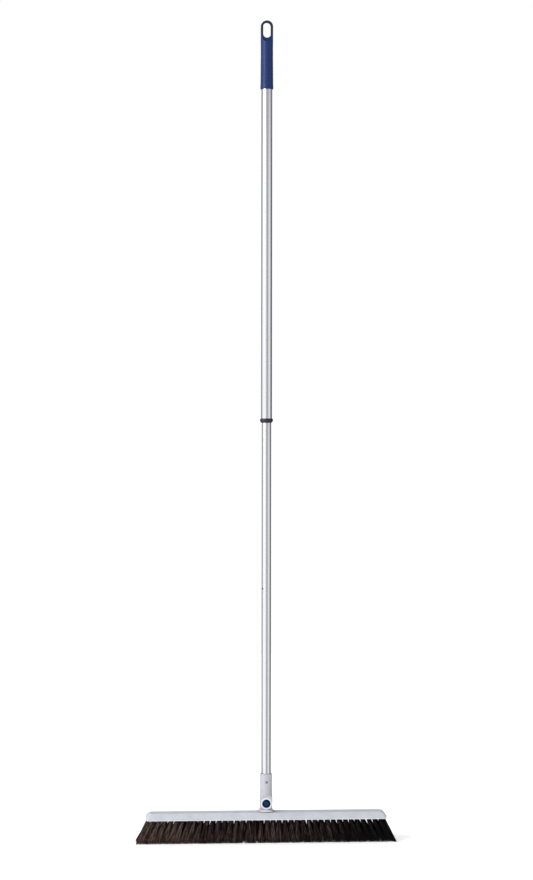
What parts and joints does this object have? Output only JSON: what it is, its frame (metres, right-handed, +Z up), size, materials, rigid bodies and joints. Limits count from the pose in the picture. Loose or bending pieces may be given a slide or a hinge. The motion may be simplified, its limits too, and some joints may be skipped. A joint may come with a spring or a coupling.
{
  "type": "push broom",
  "caption": "Push broom with a wide brush head, a swivelling and tilting handle joint, a telescopic tube handle and a grip with a hang loop.",
  "frame": {"origin": "floor point under the middle of the head and the handle's axis", "axes": "+Z up along the handle, +X along the head, -Y towards the front, where the release button is"},
  "size_m": [0.594, 0.066, 1.875],
  "materials": {
    "cover_plastic": "satin",
    "board_plastic": "satin",
    "bristle": "matte",
    "socket_plastic": "satin",
    "button_blue": "gloss",
    "grip_navy": "soft touch",
    "collar_dark": "satin",
    "tube_aluminium": "anodised",
    "steel": "plated",
    "brass": "turned",
    "nylon": "satin",
    "brake_rubber": "matte"
  },
  "bodies": {
    "head": {"tuft_board": "board_plastic", "head_cover": "cover_plastic", "bristle_row_1": "bristle", "bristle_row_2": "bristle", "bristle_row_3": "bristle", "bristle_row_4": "bristle", "board_screw_1": "steel", "board_screw_2": "steel", "board_screw_3": "steel", "board_screw_4": "steel", "board_screw_5": "steel", "board_screw_6": "steel", "swivel_bush": "nylon", "thrust_ring": "collar_dark"},
    "swivel": {"swivel_base": "socket_plastic", "swivel_bolt": "steel", "swivel_washer": "steel", "insert_nut": "brass", "pivot_bush": "brass"},
    "lower_handle": {"handle_socket": "socket_plastic", "rear_cap": "socket_plastic", "lower_tube": "tube_aluminium", "button_spring": "steel", "snap_spring": "steel", "lock_plug": "nylon", "lock_stud": "steel"},
    "tilt_release": {"pivot_button": "button_blue", "pivot_stud": "steel", "brake_disc": "brake_rubber"},
    "snap_catch": {"snap_button": "steel"},
    "twist_sleeve": {"lock_sleeve": "collar_dark", "lock_cone": "brass"},
    "upper_handle": {"upper_tube": "tube_aluminium", "collar": "collar_dark", "grip": "grip_navy"}
  },
  "joints": [
    {"name": "base_swivel", "type": "hinge", "parent": "head", "child": "swivel", "pos_m": [0, 0, 0.0689], "axis": [0, 0, 1], "continuous": true},
    {"name": "handle_tilt", "type": "hinge", "parent": "swivel", "child": "lower_handle", "pos_m": [0, 0, 0.0871], "axis": [0, 1, 0], "range_deg": [-90, 90]},
    {"name": "release_press", "type": "slide", "parent": "lower_handle", "child": "tilt_release", "axis": [0, 1, 0], "range_m": [0, 0.0025], "stiffness_N_per_m": 1500, "springref_m": -0.002, "deforming": ["button_spring"]},
    {"name": "snap_press", "type": "slide", "parent": "lower_handle", "child": "snap_catch", "axis": [0, 1, 0], "range_m": [0, 0.004], "stiffness_N_per_m": 900, "springref_m": -0.001, "deforming": ["snap_spring"]},
    {"name": "twist_lock", "type": "hinge", "parent": "lower_handle", "child": "twist_sleeve", "pos_m": [0, 0, 1.06], "axis": [0, 0, 1], "range_deg": [0, 120]},
    {"name": "telescope", "type": "slide", "parent": "twist_sleeve", "child": "upper_handle", "axis": [0, 0, 1], "range_m": [-0.72, 0]}
  ]
}
